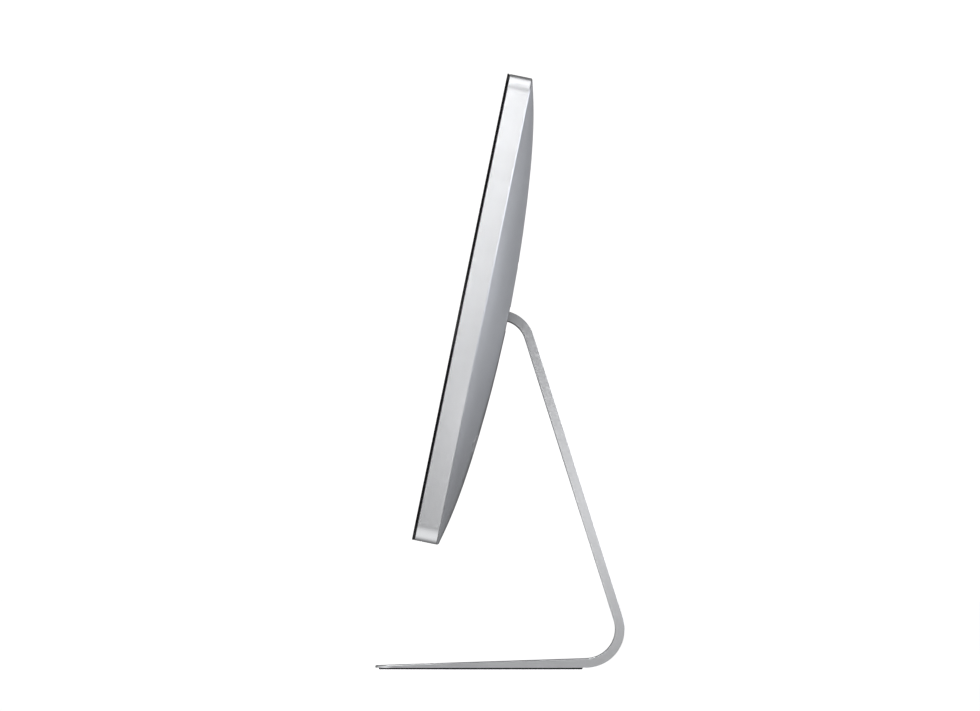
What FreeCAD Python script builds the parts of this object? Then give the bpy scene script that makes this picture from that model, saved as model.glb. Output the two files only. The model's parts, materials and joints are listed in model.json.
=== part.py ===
"""Desktop all-in-one computer on a bent aluminium stand.

The stand is one aluminium plate bent twice: a foot that thins towards the front, a leg that
leans forward, and a neck that enters the back of the display at the middle of its height.
Inside, the neck carries a steel leaf with two knuckles on the tilt shaft. The display is a
one-piece aluminium housing with a domed back, closed in front by a full-height glass.

Two frames are used besides the row frame (X to the user's right, Y to the back, Z up):
  head   origin at the middle of the glass's front face, y into the display, z up the screen
  hinge  origin on the tilt axis, axes parallel to the row frame
Lengths are millimetres and angles are degrees.
"""

import FreeCAD, Part
import math
import os
import re

import Sketcher
from FreeCAD import Placement, Rotation, Vector

doc = FreeCAD.newDocument("desktop_computer")
dims = doc.addObject("Spreadsheet::Sheet", "Dims")
sub_parts = []

DIMENSIONS = """
  body_width        650    overall width of the display
  body_height       393.4  overall height of the display, along the screen
  corner_radius     14     corners of the display, seen from the front
  glass_thick       1.7    front glass
  rim_depth         21.2   front face of the glass to the ridge where the dome starts
  dome_rise         19.8   height of the dome above the ridge, at the middle
  dome_up_a         0.13   fullness of the dome's upright section, second-order term
  dome_up_b         0.36   fullness of the dome's upright section, fourth-order term
  dome_side_a       0.80   fullness of the dome's level section, second-order term
  dome_side_b       0.02   fullness of the dome's level section, fourth-order term
  wall_thick        3      side walls and dome of the housing
  edge_bevel        0.9    bevel round the front rim and along the ridge
  ledge_width       5.5    inward flange behind the glass
  ledge_thick       3      depth of that flange

  tilt              11.6   lean of the screen away from vertical
  axis_y            -10.8  tilt axis, in the row frame
  axis_z            295.5  tilt axis, in the row frame
  hinge_depth       23     tilt axis behind the glass's front face
  hinge_drop        0.8    tilt axis below the middle of the display

  stand_width       190    width of the foot, leg and neck
  plate_thick       7.5    leg and neck
  foot_front        -103.9 front edge of the foot
  foot_tip_thick    1.7    foot at its front edge
  foot_corner       14     front corners of the foot, seen from above
  heel_radius       32.15  outer radius of the lower bend
  stand_back        103.9  rearmost point of the lower bend
  neck_radius       29.1   outer radius of the upper bend
  neck_end          7.3    front end of the neck, behind the tilt axis
  neck_bend         10.8   where the upper bend starts, behind the tilt axis
  edge_round        0.3    broken edges of the stand plate
  pad_thick         1.5    black pad under the foot
  pad_inset         2.9    pad edge inside the foot edge
  cable_hole_radius 21     round hole through the leg
  cable_hole_z      118    middle of that hole above the table

  seat_height       1      milled seat for the leaf, above the neck's middle
  seat_depth        9      length of that seat
  leaf_width        171    steel leaf on the neck
  leaf_thick        2.6    leaf plate
  knuckle_radius    6.5    knuckles of the leaf
  knuckle_inner     25     near end of each knuckle from the middle
  knuckle_length    35     length of each knuckle
  shaft_radius      3.5    tilt shaft
  shaft_half        121    half length of the tilt shaft
  leaf_screw_y      10     leaf screws behind the tilt axis
  screw_shank       1.25   shank of the leaf screws
  spring_inner      64     start of each counterbalance spring
  spring_length     36     length of each counterbalance spring
  spring_mean       5.2    mean radius of the coil
  spring_wire       0.8    wire radius of the coil
  ear_inner         104    inner face of each hinge bracket's ear
  ear_thick         5      ear
  ear_radius        9      rounded end of the ear
  bush_outer        5.5    bush in the ear
  bush_clear        0.06   running clearance of the shaft in its bush
  shield_outer      17     slot shield, outer radius about the axis
  shield_thick      1      slot shield
  slot_half         96.5   half width of the neck's slot in the housing
  slot_below        9.8    slot below the tilt axis
  slot_above        11.6   slot above the tilt axis

  panel_width       622    steel frame of the display panel
  panel_height      362    steel frame of the display panel
  panel_front       2.1    front of the panel frame
  panel_back        11.5   back of the panel frame
  active_width      597.6  lit area
  active_height     336.6  lit area
  cell_width        607    liquid crystal cell
  cell_height       348    liquid crystal cell
  cell_thick        1.8    liquid crystal cell

  board_back        18     back face of the main board
  board_thick       1.6    main board
  supply_back       15     back face of the power supply board
  blower_front      13     front face of a blower
  blower_back       27     back face of a blower
  blower_x          160    blower centre from the middle
  blower_z          55     blower centre above the middle
  blower_radius     36     outside of a blower's scroll
  impeller_radius   30     blades of the impeller
  drive_back        21     back face of the storage drive

  port_z            -108   middle of the port row
  inlet_z           -118   middle of the power inlet
  inlet_radius      12.5   inside of the power inlet's cup
  inlet_wall        2.5    cup wall
  button_x          -285   power button
  button_z          -160   power button
  button_radius     6      power button
  button_gap        0.25   clearance round the button
  exhaust_z         46.5   middle of the exhaust slot
  exhaust_half      90     half width of the exhaust slot
  exhaust_height    5      exhaust slot
"""


# ---------------------------------------------------------------- document helpers


def fill_sheet():
    """One row for each driving dimension: its name, value and meaning."""
    row = 0
    for line in DIMENSIONS.strip().splitlines():
        if not line.strip():
            continue
        name, value, note = line.split(None, 2)
        row += 1
        dims.set("A%d" % row, name)
        dims.set("B%d" % row, value)
        dims.set("C%d" % row, note)
        dims.setAlias("B%d" % row, name)
        VALUES[name] = float(value)
    doc.recompute()


VALUES = {}
fill_sheet()
WORD = re.compile(r"[a-z_]+")


def d(name):
    """The value of a driving dimension, for shapes that are worked out in this script."""
    return float(dims.get(name))


def bind(obj, prop, formula):
    """Ties a property to a formula of the sheet's names."""
    text = WORD.sub(lambda m: "Dims." + m.group() if m.group() in VALUES else m.group(), str(formula))
    obj.setExpression(prop, text)


def frame(name, rotation, base):
    """A named place that sub-parts are set in."""
    place = doc.addObject("App::Placement", name)
    place.Placement = Placement(Vector(), rotation)
    for axis, formula in zip("xyz", base):
        bind(place, "Placement.Base." + axis, formula)
    return place


def make_frames():
    lean = Rotation(Vector(-1, 0, 0), d("tilt"))
    head = frame("HeadFrame", lean, (
        "0",
        "axis_y - hinge_depth * cos(tilt * 1 deg) + hinge_drop * sin(tilt * 1 deg)",
        "axis_z + hinge_depth * sin(tilt * 1 deg) + hinge_drop * cos(tilt * 1 deg)",
    ))
    bind(head, "Placement.Rotation.Angle", "tilt")
    hinge = frame("HingeFrame", Rotation(), ("0", "axis_y", "axis_z"))
    row = frame("RowFrame", Rotation(), ("0", "0", "0"))
    return head, hinge, row


HEAD, HINGE, ROW = make_frames()


def keep(obj, label, place):
    """Names a finished sub-part, sets it in its frame and lists it for export."""
    if obj.TypeId in ("Part::Box", "Part::Cylinder"):
        obj = group([obj])
    obj.Label = label
    obj.setExpression("Placement", place.Name + ".Placement")
    sub_parts.append(obj)
    return obj


def block(size, at, centred="xz"):
    """A box. On the centred axes, at is its middle, and on the others its low side."""
    box = doc.addObject("Part::Box", "block")
    for prop, formula in zip(("Length", "Width", "Height"), size):
        bind(box, prop, formula)
    for axis, length, place in zip("xyz", size, at):
        shift = " - (%s) / 2" % length if axis in centred else ""
        bind(box, "Placement.Base." + axis, "(%s)%s" % (place, shift))
    return box


TURNS = {
    "x": Rotation(Vector(0, 1, 0), 90),
    "y": Rotation(Vector(1, 0, 0), -90),
    "z": Rotation(),
}


def rod(radius, length, at, along="y", kind="Part::Cylinder", seam=0):
    """A cylinder from at, running the positive way along one axis. seam turns its seam line about it."""
    cylinder = doc.addObject(kind, "rod")
    cylinder.Placement = Placement(Vector(), TURNS[along].multiply(Rotation(Vector(0, 0, 1), seam)))
    bind(cylinder, "Radius", radius)
    bind(cylinder, "Height", length)
    for axis, place in zip("xyz", at):
        bind(cylinder, "Placement.Base." + axis, place)
    return cylinder


def group(pieces):
    """Several separate solids in one object."""
    compound = doc.addObject("Part::Compound", "group")
    compound.Links = pieces
    return compound


def joined(pieces):
    fuse = doc.addObject("Part::MultiFuse", "joined")
    fuse.Shapes = pieces
    fuse.Refine = True
    return fuse


def without(base, tools):
    """base with the tools cut away."""
    cut = doc.addObject("Part::Cut", "without")
    cut.Base = base
    cut.Tool = tools[0] if len(tools) == 1 else group(tools)
    return cut


def shared(base, tool):
    common = doc.addObject("Part::Common", "shared")
    common.Base = base
    common.Tool = tool
    return common


def ring(outer, inner, length, at, along="y"):
    return without(rod(outer, length, at, along), [rod(inner, length, at, along)])


def shaped(shape, name="shaped"):
    """A piece whose shape is worked out with Part's own functions."""
    feature = doc.addObject("Part::Feature", name)
    feature.Shape = shape
    return feature


def plane_of(body, role):
    return [f for f in body.Origin.OriginFeatures if f.Role == role][0]


def new_body(name):
    return doc.addObject("PartDesign::Body", name)


def new_sketch(body, role, offset="0"):
    sketch = body.newObject("Sketcher::SketchObject", body.Name + "_sketch")
    sketch.AttachmentSupport = (plane_of(body, role), "")
    sketch.MapMode = "FlatFace"
    bind(sketch, "AttachmentOffset.Base.z", offset)
    return sketch


def pad(body, sketch, length, side="One side", back=True):
    feature = body.newObject("PartDesign::Pad", body.Name + "_pad")
    feature.Profile = sketch
    feature.SideType = side
    feature.Reversed = back
    bind(feature, "Length", length)
    return feature


def rounded_outline(sketch, width, height, radius, middle=("0", "0")):
    """Draws a rectangle with round corners, every size tied to the sheet."""
    w, h, r = evaluate(width), evaluate(height), evaluate(radius)
    cx, cy = evaluate(middle[0]), evaluate(middle[1])
    x, y = w / 2, h / 2
    corners = [(x - r, y - r, 0), (r - x, y - r, 90), (r - x, r - y, 180), (x - r, r - y, 270)]
    arcs = []
    for px, py, start in corners:
        circle = Part.Circle(Vector(cx + px, cy + py, 0), Vector(0, 0, 1), r)
        arc = Part.ArcOfCircle(circle, math.radians(start), math.radians(start + 90))
        arcs.append(sketch.addGeometry(arc))
    lines = []
    for n in range(4):
        a = sketch.Geometry[arcs[n]].EndPoint
        b = sketch.Geometry[arcs[(n + 1) % 4]].StartPoint
        lines.append(sketch.addGeometry(Part.LineSegment(a, b)))
    for n in range(4):
        sketch.addConstraint(Sketcher.Constraint("Tangent", arcs[n], 2, lines[n], 1))
        sketch.addConstraint(Sketcher.Constraint("Tangent", lines[n], 2, arcs[(n + 1) % 4], 1))
    for n in range(3):
        sketch.addConstraint(Sketcher.Constraint("Equal", arcs[n], arcs[n + 1]))
    for n, kind in enumerate(("Horizontal", "Vertical", "Horizontal", "Vertical")):
        sketch.addConstraint(Sketcher.Constraint(kind, lines[n]))
    sizes = (
        ("radius", ("Radius", arcs[0]), r, radius),
        ("right", ("DistanceX", -1, 1, lines[3], 1), cx + x, "(%s) + (%s) / 2" % (middle[0], width)),
        ("left", ("DistanceX", lines[1], 1, -1, 1), x - cx, "(%s) / 2 - (%s)" % (width, middle[0])),
        ("top", ("DistanceY", -1, 1, lines[0], 1), cy + y, "(%s) + (%s) / 2" % (middle[1], height)),
        ("low", ("DistanceY", lines[2], 1, -1, 1), y - cy, "(%s) / 2 - (%s)" % (height, middle[1])),
    )
    for name, constraint, value, formula in sizes:
        index = sketch.addConstraint(Sketcher.Constraint(*constraint, value))
        sketch.renameConstraint(index, name)
        bind(sketch, "Constraints." + name, formula)


def evaluate(formula):
    """The number that a formula of the sheet's names comes to."""
    text = WORD.sub(lambda m: repr(VALUES[m.group()]) if m.group() in VALUES else m.group(), str(formula))
    return float(dims.evalExpression(text))


def plate(name, width, height, depth, front, radius, middle=("0", "0")):
    """A flat body with round corners, parallel to the screen, from front to front + depth."""
    body = new_body(name)
    sketch = new_sketch(body, "XZ_Plane", "-(%s)" % front)
    rounded_outline(sketch, width, height, radius, middle)
    pad(body, sketch, depth)
    doc.recompute()
    return body


def edges_at(shape, test):
    """Names of the edges whose middle passes the test."""
    found = []
    for n, edge in enumerate(shape.Edges, 1):
        middle = edge.valueAt((edge.FirstParameter + edge.LastParameter) / 2)
        if test(middle, edge):
            found.append("Edge%d" % n)
    return found


def soften(body, kind, names, size):
    """Fillets or chamfers edges of a body's last feature."""
    worked = body.Tip
    feature = body.newObject("PartDesign::" + kind, body.Name + "_" + kind.lower())
    feature.Base = (worked, names)
    bind(feature, "Radius" if kind == "Fillet" else "Size", size)
    doc.recompute()
    return feature


def screw(at, shank, length, head_radius, head_height, along="y", back=True):
    """A cap screw: the head's underside is at the point given and the shank runs on from it."""
    x, y, z = at
    axis = "xyz".index(along)
    head, body = list(at), list(at)
    if back:
        head[axis] = "(%s) - (%s)" % (at[axis], head_height)
    else:
        body[axis] = "(%s) - (%s)" % (at[axis], length)
    return joined([rod(head_radius, head_height, head, along), rod(shank, length, body, along)])


# ---------------------------------------------------------------- the dome


def section(share, way):
    """Height of one of the dome's two sections, 1 at the middle and 0 at the edge."""
    square = share * share
    fullness = 1 + d("dome_%s_a" % way) * square + d("dome_%s_b" % way) * square * square
    return (1 - square) * fullness


def dome_depth(x, z):
    """Depth of the dome's outer face behind the glass's front face."""
    level = section(x / (d("body_width") / 2), "side")
    upright = section(z / (d("body_height") / 2), "up")
    return d("rim_depth") + d("dome_rise") * level * upright


def dome_block(forward):
    """A block whose back is the domed surface, moved forward, and whose front is far ahead."""
    half_w, half_h = d("body_width") / 2, d("body_height") / 2
    across, up = 24, 18
    net = []
    for i in range(across + 1):
        x = half_w * (2 * i / across - 1)
        column = []
        for j in range(up + 1):
            z = half_h * (2 * j / up - 1)
            column.append(Vector(x, dome_depth(x, z) - forward, z))
        net.append(column)
    surface = Part.BSplineSurface()
    surface.interpolate(net)
    solid = surface.toShape().extrude(Vector(0, -2 * d("rim_depth"), 0))
    return shaped(solid, "dome_block")


def outline_block(name, inset, front, depth):
    return plate(
        name,
        "body_width - 2 * (%s)" % inset,
        "body_height - 2 * (%s)" % inset,
        depth,
        front,
        "corner_radius - (%s)" % inset,
    )


# ---------------------------------------------------------------- stand


def stand_profile(sketch):
    """The bent plate seen from the side: foot, lower bend (the heel), leg, upper bend and neck."""
    low_y, low_z = d("stand_back") - d("heel_radius"), d("pad_thick") + d("heel_radius")
    top_y, end_y = d("axis_y") + d("neck_bend"), d("axis_y") + d("neck_end")
    top_z = d("axis_z") + d("plate_thick") / 2 - d("neck_radius")
    outer_low, outer_top = d("heel_radius"), d("neck_radius")
    inner_low, inner_top = outer_low - d("plate_thick"), outer_top - d("plate_thick")
    gap = math.hypot(top_y - low_y, top_z - low_z)
    lean = math.acos((outer_low - outer_top) / gap) - math.atan2(top_z - low_z, low_y - top_y)
    tip = Vector(d("foot_front"), d("pad_thick") + d("foot_tip_thick"), 0)
    reach = math.hypot(low_y - tip.x, low_z - tip.y)
    rise = math.atan2(low_z - tip.y, low_y - tip.x) - math.asin(inner_low / reach)

    def on(y, z, radius, angle):
        return Vector(y + radius * math.cos(angle), z + radius * math.sin(angle), 0)

    def arc(y, z, radius, start, end):
        circle = Part.Circle(Vector(y, z, 0), Vector(0, 0, 1), radius)
        return sketch.addGeometry(Part.ArcOfCircle(circle, start, end))

    def line(a, b):
        return sketch.addGeometry(Part.LineSegment(a, b))

    down, up = -math.pi / 2, math.pi / 2
    front = Vector(d("foot_front"), d("pad_thick"), 0)
    bottom = line(front, on(low_y, low_z, outer_low, down))
    heel = arc(low_y, low_z, outer_low, down, lean)
    back = line(on(low_y, low_z, outer_low, lean), on(top_y, top_z, outer_top, lean))
    bend = arc(top_y, top_z, outer_top, lean, up)
    roof = line(on(top_y, top_z, outer_top, up), on(end_y, top_z, outer_top, up))
    end = line(on(end_y, top_z, outer_top, up), on(end_y, top_z, inner_top, up))
    under = line(on(end_y, top_z, inner_top, up), on(top_y, top_z, inner_top, up))
    bend_in = arc(top_y, top_z, inner_top, lean, up)
    face = line(on(top_y, top_z, inner_top, lean), on(low_y, low_z, inner_low, lean))
    heel_in = arc(low_y, low_z, inner_low, down + rise, lean)
    foot = line(on(low_y, low_z, inner_low, down + rise), tip)
    nose = line(tip, front)

    def relate(kind, *items):
        sketch.addConstraint(Sketcher.Constraint(kind, *items))

    for pair in (
        (bottom, 2, heel, 1), (heel, 2, back, 1), (back, 2, bend, 1), (bend, 2, roof, 1),
        (under, 2, bend_in, 2), (bend_in, 1, face, 1), (face, 2, heel_in, 2), (heel_in, 1, foot, 1),
    ):
        relate("Tangent", *pair)
    for pair in (
        (roof, 2, end, 1), (end, 2, under, 1), (foot, 2, nose, 1),
        (nose, 2, bottom, 1), (heel, 3, heel_in, 3), (bend, 3, bend_in, 3),
    ):
        relate("Coincident", *pair)
    for level in (bottom, roof, under):
        relate("Horizontal", level)
    for upright in (nose, end):
        relate("Vertical", upright)
    sizes = (
        ("heel", ("Radius", heel), outer_low, "heel_radius"),
        ("heel_in", ("Radius", heel_in), inner_low, "heel_radius - plate_thick"),
        ("bend", ("Radius", bend), outer_top, "neck_radius"),
        ("bend_in", ("Radius", bend_in), inner_top, "neck_radius - plate_thick"),
        ("heel_y", ("DistanceX", -1, 1, heel, 3), low_y, "stand_back - heel_radius"),
        ("base", ("DistanceY", -1, 1, bottom, 1), front.y, "pad_thick"),
        ("front", ("DistanceX", bottom, 1, -1, 1), -front.x, "-foot_front"),
        ("neck_y", ("DistanceX", bend, 3, -1, 1), -top_y, "-axis_y - neck_bend"),
        ("neck_tip", ("DistanceX", end, 1, -1, 1), -end_y, "-axis_y - neck_end"),
        ("neck_z", ("DistanceY", -1, 1, bend, 3), top_z, "axis_z + plate_thick / 2 - neck_radius"),
        ("tip", ("DistanceY", nose, 2, nose, 1), d("foot_tip_thick"), "foot_tip_thick"),
    )
    for name, constraint, value, formula in sizes:
        index = sketch.addConstraint(Sketcher.Constraint(*constraint, value))
        sketch.renameConstraint(index, name)
        bind(sketch, "Constraints." + name, formula)


def make_stand():
    body = new_body("stand_body")
    sketch = new_sketch(body, "YZ_Plane")
    stand_profile(sketch)
    pad(body, sketch, "stand_width", "Symmetric", False)
    doc.recompute()

    half, nose = d("stand_width") / 2, d("foot_front")
    corners = edges_at(body.Shape, lambda m, e: abs(m.y - nose) < 0.01 and abs(abs(m.x) - half) < 0.01)
    soften(body, "Fillet", corners, "foot_corner")

    def side_edge(middle, edge):
        nearest = min(abs(vertex.Point.x) for vertex in edge.Vertexes)
        return nearest > half - d("foot_corner") - 0.1 and edge.Length > d("plate_thick") + 0.5

    soften(body, "Fillet", edges_at(body.Shape, side_edge), "edge_round")

    seat = block(
        ("stand_width + 2", "seat_depth + 1", "plate_thick"),
        ("0", "axis_y + neck_end - 1", "axis_z + seat_height"), "x")
    hole = rod("cable_hole_radius", "stand_back", ("0", "0", "cable_hole_z"))
    taps = [rod("screw_shank", "2 * plate_thick", (x, "axis_y + leaf_screw_y", "axis_z - plate_thick"), "z")
            for x in leaf_screw_places()]
    keep(without(body, [seat, hole] + taps), "stand_plate", ROW)

    mat = new_body("pad_body")
    sketch = new_sketch(mat, "XY_Plane")
    rounded_outline(
        sketch, "stand_width - 2 * pad_inset", "stand_back - heel_radius - foot_front - 2 * pad_inset",
        "foot_corner - pad_inset", ("0", "(stand_back - heel_radius + foot_front) / 2"))
    pad(mat, sketch, "pad_thick", back=False)
    keep(mat, "foot_pad", ROW)


def leaf_screw_places():
    return ("-74", "-45", "-15", "15", "45", "74")


def make_hinge():
    """Pieces on the stand's side of the hinge, in the hinge frame."""
    plate_piece = block(
        ("leaf_width", "seat_depth + neck_end - 1 - 7.2", "leaf_thick"),
        ("0", "7.2", "seat_height"), "x")
    pieces = [plate_piece]
    for side in (-1, 1):
        near = "%d * (knuckle_inner + knuckle_length / 2)" % side
        pieces.append(block(("knuckle_length", "8", "leaf_thick"), (near, "0", "seat_height"), "x"))
        start = "%s - knuckle_length / 2" % near
        pieces.append(rod("knuckle_radius", "knuckle_length", (start, "0", "0"), "x"))
    bore = rod("shaft_radius", "2 * shaft_half", ("-shaft_half", "0", "0"), "x")
    holes = [rod("screw_shank", "leaf_thick + 2", (x, "leaf_screw_y", "0"), "z")
             for x in leaf_screw_places()]
    keep(without(joined(pieces), [bore] + holes), "hinge_leaf", HINGE)
    keep(rod("shaft_radius", "2 * shaft_half", ("-shaft_half", "0", "0"), "x"), "hinge_shaft", HINGE)
    screws = [screw((x, "leaf_screw_y", "seat_height + leaf_thick"), "screw_shank",
                    "leaf_thick + 4", "2.3", "1.5", "z", False) for x in leaf_screw_places()]
    keep(group(screws), "leaf_screws", HINGE)

    springs = []
    for side in (-1, 1):
        start = "spring_inner" if side > 0 else "-spring_inner - spring_length"
        coil = doc.addObject("Part::Helix", "coil")
        bind(coil, "Pitch", "spring_length / 12")
        bind(coil, "Height", "spring_length - 2 * spring_wire")
        bind(coil, "Radius", "spring_mean")
        wire = doc.addObject("Part::Circle", "wire")
        bind(wire, "Radius", "spring_wire")
        bind(wire, "Placement.Base.x", "spring_mean")
        wire.Placement = Placement(wire.Placement.Base, Rotation(Vector(1, 0, 0), 90))
        sweep = doc.addObject("Part::Sweep", "spring")
        sweep.Sections = [wire]
        sweep.Spine = (coil, ["Edge1"])
        sweep.Solid = True
        sweep.Frenet = True
        lay = group([sweep])
        lay.Placement = Placement(Vector(), TURNS["x"])
        bind(lay, "Placement.Base.x", start + " + spring_wire")
        springs.append(lay)
    keep(group(springs), "counterbalance_springs", HINGE)

    washers, nuts = [], []
    for side in (-1, 1):
        for reach, thick in ((0.3, 1.2), (1.7, 1.2), (3.1, 1.2)):
            far = "ear_inner + ear_thick + %s" % reach
            start = far if side > 0 else "-(%s) - %s" % (far, thick)
            washers.append(ring("6", "shaft_radius", str(thick), (start, "0", "0"), "x"))
        far = "ear_inner + ear_thick + 4.5"
        start = far if side > 0 else "-(%s) - 5" % far
        nut = doc.addObject("Part::Prism", "nut")
        nut.Placement = Placement(Vector(), TURNS["x"])
        nut.Polygon = 6
        bind(nut, "Circumradius", "shaft_radius * 1.75")
        bind(nut, "Height", "5")
        bind(nut, "Placement.Base.x", start)
        nuts.append(without(nut, [rod("shaft_radius", "6", (start, "0", "0"), "x")]))
    keep(group(washers), "clutch_washers", HINGE)
    keep(group(nuts), "lock_nuts", HINGE)

    sleeve = ring("shield_outer", "shield_outer - shield_thick", "2 * slot_half - 5",
                  ("-slot_half + 2.5", "0", "0"), "x")
    bend = ("-slot_half", "neck_bend", "plate_thick / 2 - neck_radius")
    over_neck = without(block(("2 * slot_half", "20", "20"), ("0", "11.3", "0"), "x"),
                        [rod("neck_radius", "2 * slot_half", bend, "x")])
    under_neck = shared(block(("2 * slot_half", "20", "20"), ("0", "7.4", "-20 - plate_thick / 2"), "x"),
                        rod("neck_radius - plate_thick", "2 * slot_half", bend, "x"))
    keep(shared(sleeve, group([over_neck, under_neck])), "slot_shield", HINGE)


# ---------------------------------------------------------------- housing


def clipped(pieces, forward):
    """Pieces that run back into the dome, ended a little under its outer face."""
    return shared(group(pieces), dome_block(forward))


def stand_offs(places, front, radius="3.2"):
    return [rod(radius, "60 - (%s)" % front, (x, front, z)) for x, z in places]


BOARD_HOLES = (("-52", "-142"), ("222", "-142"), ("-52", "-36"), ("222", "-36"), ("84", "-142"))
SUPPLY_HOLES = (("-238", "-143"), ("-92", "-143"), ("-238", "-89"), ("-92", "-89"))
DRIVE_HOLES = (("-68", "96"), ("48", "96"), ("-68", "154"), ("48", "154"))
BRACKET_HOLES = (("119", "-15"), ("119", "13.4"), ("-119", "-15"), ("-119", "13.4"))
SINK_HOLES = (("50", "-96"), ("100", "-96"), ("50", "-46"), ("100", "-46"))
DOOR_HOLES = ("-52", "0", "52")
USB_PLACES = ("172", "158", "144", "130")
DISPLAY_PLACES = ("116", "105")
ETHERNET_PLACE = "88"
AUDIO_PLACES = ("200", "188")
PANEL_TABS = [(x, z) for x in ("313.4", "-313.4") for z in ("-150", "-55", "55", "150")]


def blower_holes(side):
    reach = "blower_radius + 2.2"
    return [("%d * blower_x + (%s) * %s" % (side, reach, math.cos(math.radians(a))),
             "blower_z + (%s) * %s" % (reach, math.sin(math.radians(a)))) for a in (80, 0, -62)]


def make_housing():
    outer = shared(outline_block("housing_outline", "0", "glass_thick", "60"), dome_block(0))
    doc.recompute()
    half_w, half_h = d("body_width") / 2, d("body_height") / 2

    def on_outline(middle, edge):
        if edge.Length < 5:
            return False
        level = abs(middle.y - d("glass_thick")) < 0.05 or abs(middle.y - d("rim_depth")) < 0.3
        side = abs(abs(middle.x) - half_w) < 5 or abs(abs(middle.z) - half_h) < 5
        return level and side

    bevel = doc.addObject("Part::Chamfer", "bevel")
    bevel.Base = outer
    size = d("edge_bevel")
    bevel.Edges = [(int(name[4:]), size, size) for name in edges_at(outer.Shape, on_outline)]

    cavity = shared(
        outline_block("cavity_outline", "wall_thick", "glass_thick + ledge_thick", "60"),
        dome_block(d("wall_thick")))
    opening = outline_block("front_opening", "wall_thick + ledge_width", "glass_thick - 1", "ledge_thick + 2")
    hollow = without(bevel, [cavity, opening])

    posts = stand_offs(BOARD_HOLES, "board_back")
    posts += stand_offs(SUPPLY_HOLES, "supply_back")
    posts += stand_offs(DRIVE_HOLES, "drive_back")
    posts += stand_offs(BRACKET_HOLES, "33", "4")
    for side in (-1, 1):
        posts += stand_offs(blower_holes(side), "blower_back", "2.8")
    posts += stand_offs([("button_x - 11", "button_z"), ("button_x + 11", "button_z")], "14.4", "2.2")
    shelves = [block(("11", "13", "9"), ("(%s) + %s" % (x, "3.9" if x[0] != "-" else "-3.9"), "5.6", z), "xz")
               for x, z in PANEL_TABS]
    shelves += [block(("8", "13", "3.2"), (x, "6.5", "-body_height / 2 + wall_thick + 1.4"), "xz")
                for x in DOOR_HOLES]
    solid = joined([hollow, clipped(posts, 1)] + shelves)

    cuts = [block(("2 * slot_half", "60", "slot_above + slot_below"),
                  ("0", "25", "-hinge_drop - slot_below"), "x")]
    cuts.append(plate("exhaust_cut", "2 * exhaust_half", "exhaust_height", "60", "30",
                      "exhaust_height / 2 - 0.05", ("0", "exhaust_z")))
    cuts.append(rod("inlet_radius + inlet_wall", "60", ("0", "25", "inlet_z")))
    for x in USB_PLACES:
        cuts.append(block(("7.2", "60", "14.8"), (x, "24", "port_z"), "xz"))
    for x in DISPLAY_PLACES:
        cuts.append(block(("7.2", "60", "10.0"), (x, "24", "port_z"), "xz"))
    cuts.append(block(("14.8", "60", "14.8"), (ETHERNET_PLACE, "24", "port_z"), "xz"))
    for x in AUDIO_PLACES:
        cuts.append(rod("3.3", "60", (x, "24", "port_z")))
    cuts.append(rod("button_radius + button_gap", "60", ("button_x", "17", "button_z")))
    cuts.append(block(("4", "60", "8"), ("-200", "24", "-168"), "xz"))
    cuts.append(block(("124", "9", "30"), ("0", "8.5", "-body_height / 2"), "xz"))
    for side in (-1, 1):
        for n in range(14):
            x = "%d * (118 + 13 * %d)" % (side, n)
            cuts.append(block(("9", "2.2", "30"), (x, "8.6", "-body_height / 2"), "xz"))
            cuts.append(block(("9", "2.2", "30"), (x, "13.2", "-body_height / 2"), "xz"))
    for x, z in PANEL_TABS:
        cuts.append(rod("0.8", "8", (x, "5", z)))
    for x in DOOR_HOLES:
        cuts.append(rod("0.9", "9", (x, "13", "-body_height / 2"), "z"))
    for places, front in ((BOARD_HOLES, "board_back"), (SUPPLY_HOLES, "supply_back"),
                          (DRIVE_HOLES, "drive_back"), (BRACKET_HOLES, "33")):
        for x, z in places:
            cuts.append(rod("1", "5", (x, "(%s) - 1" % front, z)))
    for side in (-1, 1):
        for x, z in blower_holes(side):
            cuts.append(rod("1", "5", (x, "blower_back - 1", z)))
    keep(without(solid, cuts), "rear_housing", HEAD)


# ---------------------------------------------------------------- glass and display panel


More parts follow.
